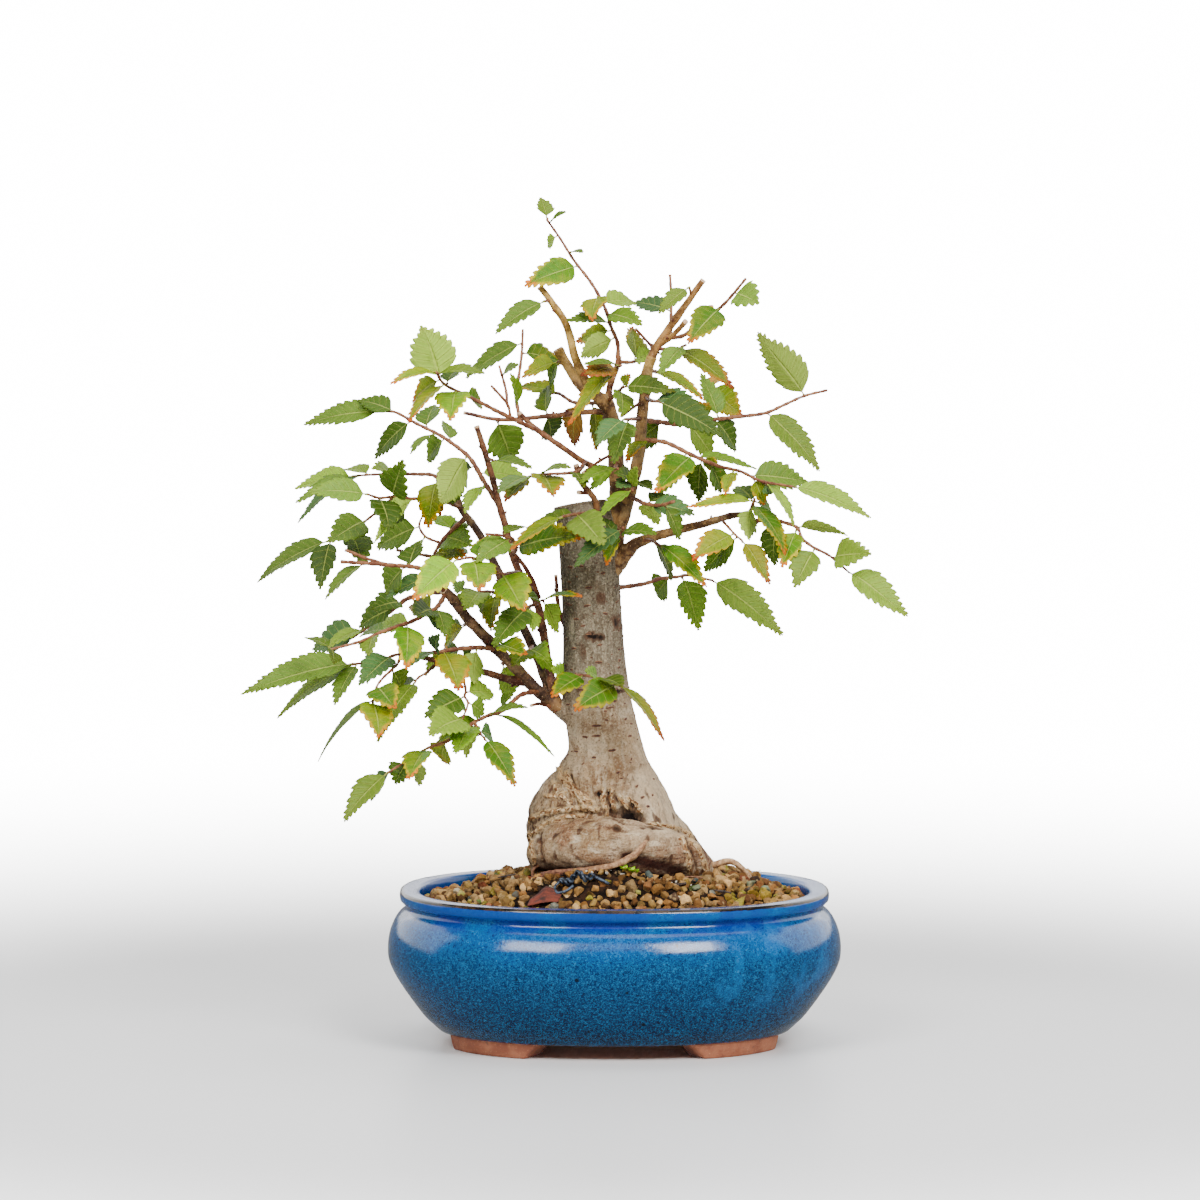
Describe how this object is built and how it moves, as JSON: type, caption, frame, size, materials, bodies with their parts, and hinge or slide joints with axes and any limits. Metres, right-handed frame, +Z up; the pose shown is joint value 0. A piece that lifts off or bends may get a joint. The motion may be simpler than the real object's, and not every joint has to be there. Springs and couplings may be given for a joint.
{
  "type": "Japanese zelkova bonsai in an oval glazed pot",
  "caption": "Broom-style Japanese zelkova bonsai with cut-back trunk and autumn-tinted toothed leaves in an oval blue-glazed pot on low feet.",
  "frame": {"origin": "on the ground under the middle of the plant's and pot's bounding box", "axes": "+Z up, +X to the right in the picture, -Y towards the viewer"},
  "size_m": [0.289, 0.1694, 0.375],
  "materials": {
    "glaze": "glossy",
    "gravel": "rough",
    "bark": "rough",
    "leaf": "satin",
    "wire": "satin",
    "mesh_plastic": "matte",
    "flake": "rough"
  },
  "bodies": {
    "root": {"pot": "glaze", "soil": "gravel", "tree": "bark", "drain_screen_left": "mesh_plastic", "drain_screen_right": "mesh_plastic", "tie_wire": "wire", "bark_flake": "flake", "shoot_crown_tip": "leaf", "shoot_high_left_spur": "leaf", "shoot_left_riser": "leaf", "shoot_right_riser": "leaf", "shoot_high_right_spur": "leaf", "shoot_high_right": "leaf", "shoot_back_crown": "leaf", "shoot_front_crown": "leaf", "shoot_leader_front": "leaf", "shoot_right_front_high": "leaf", "shoot_right_back_high": "leaf", "shoot_right_long": "leaf", "shoot_right_front_mid": "leaf", "shoot_right_reach": "leaf", "shoot_right_fork": "leaf", "shoot_right_far": "leaf", "shoot_right_hanging": "leaf", "shoot_right_under": "leaf", "shoot_right_front_low": "leaf", "shoot_crotch_front": "leaf", "shoot_crotch_low": "leaf", "shoot_stump_front": "leaf", "shoot_left_inner": "leaf", "shoot_left_front_mid": "leaf", "shoot_left_back_mid": "leaf", "shoot_left_long": "leaf", "shoot_mid_left_front": "leaf", "shoot_riser_top_spur": "leaf", "shoot_level_spur_left": "leaf", "shoot_level_spur_right": "leaf", "shoot_left_cluster": "leaf", "shoot_arm_spur": "leaf", "shoot_inner_back": "leaf", "shoot_leader_mid_front": "leaf", "shoot_leader_low_front": "leaf", "shoot_left_back_high": "leaf", "shoot_left_reach": "leaf", "shoot_back_stem_top": "leaf", "shoot_left_cut_twig": "leaf", "shoot_left_low_front": "leaf", "shoot_left_low_back": "leaf", "shoot_left_low_reach": "leaf", "shoot_low_branch_front": "leaf", "shoot_low_branch_back": "leaf", "shoot_low_branch_top": "leaf", "shoot_riser_low": "leaf", "shoot_back_stem_mid": "leaf", "shoot_back_stem_low": "leaf", "shoot_trunk_front": "leaf", "shoot_low_twig": "leaf", "shoot_hanging_twig": "leaf", "shoot_low_branch_tip": "leaf", "shoot_low_right": "leaf"}
  },
  "joints": []
}
